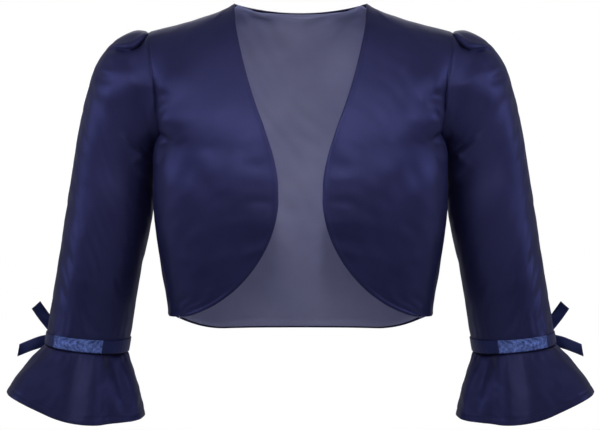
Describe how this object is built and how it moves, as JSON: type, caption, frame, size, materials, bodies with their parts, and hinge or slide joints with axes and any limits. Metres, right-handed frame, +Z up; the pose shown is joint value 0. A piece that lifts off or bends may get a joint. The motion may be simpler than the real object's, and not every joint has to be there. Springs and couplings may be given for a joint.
{
  "type": "bolero jacket",
  "caption": "Girl's open bolero in dark satin with round cut-away fronts, pleated long sleeves and a flared flounce under a tied ribbon at each cuff.",
  "frame": {"origin": "midway between the two neck points of the shoulder seams, where the wearer's shoulders hold the jacket up", "axes": "+X to the wearer's left, +Y to the wearer's back, +Z up"},
  "size_m": [0.6158, 0.1806, 0.4351],
  "materials": {
    "navy_satin": "soft sheen",
    "slate_lining": "matte",
    "blue_ribbon": "glossy satin"
  },
  "bodies": {
    "root": {"back": "navy_satin", "back_lining": "slate_lining", "front_left": "navy_satin", "front_right": "navy_satin", "sleeve_left": "navy_satin", "sleeve_right": "navy_satin", "cuff_flounce_left": "navy_satin", "cuff_flounce_right": "navy_satin", "cuff_ribbon_left": "blue_ribbon", "cuff_ribbon_right": "blue_ribbon", "ribbon_knot_left": "blue_ribbon", "ribbon_knot_right": "blue_ribbon", "ribbon_end_upper_left": "blue_ribbon", "ribbon_end_upper_right": "blue_ribbon", "ribbon_end_lower_left": "blue_ribbon", "ribbon_end_lower_right": "blue_ribbon"}
  },
  "joints": []
}
